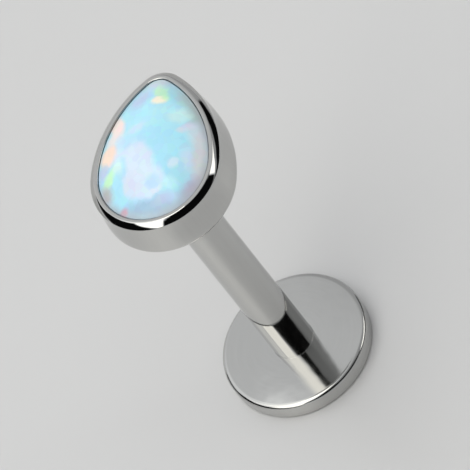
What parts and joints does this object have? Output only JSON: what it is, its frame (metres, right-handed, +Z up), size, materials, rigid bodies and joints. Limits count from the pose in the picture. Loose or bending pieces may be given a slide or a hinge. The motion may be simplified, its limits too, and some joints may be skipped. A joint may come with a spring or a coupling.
{
  "type": "labret stud",
  "caption": "Labret stud for a piercing: straight polished post on a flat round back disc, topped by a teardrop bezel cup with a domed white opal.",
  "frame": {"origin": "centre of the back disc's underside, the face that the stud stands on", "axes": "+Z up the post towards the stone, +Y towards the teardrop's tip, +X to the right when looking along +Y"},
  "size_m": [0.0042, 0.0051, 0.0108],
  "materials": {
    "polished_steel": "mirror-polished surgical steel, no plating",
    "opal": "glossy white opal with pale blue, green and peach play of colour"
  },
  "bodies": {
    "root": {"labret_post": "polished_steel", "bezel_cup": "polished_steel", "opal": "opal"}
  },
  "joints": []
}
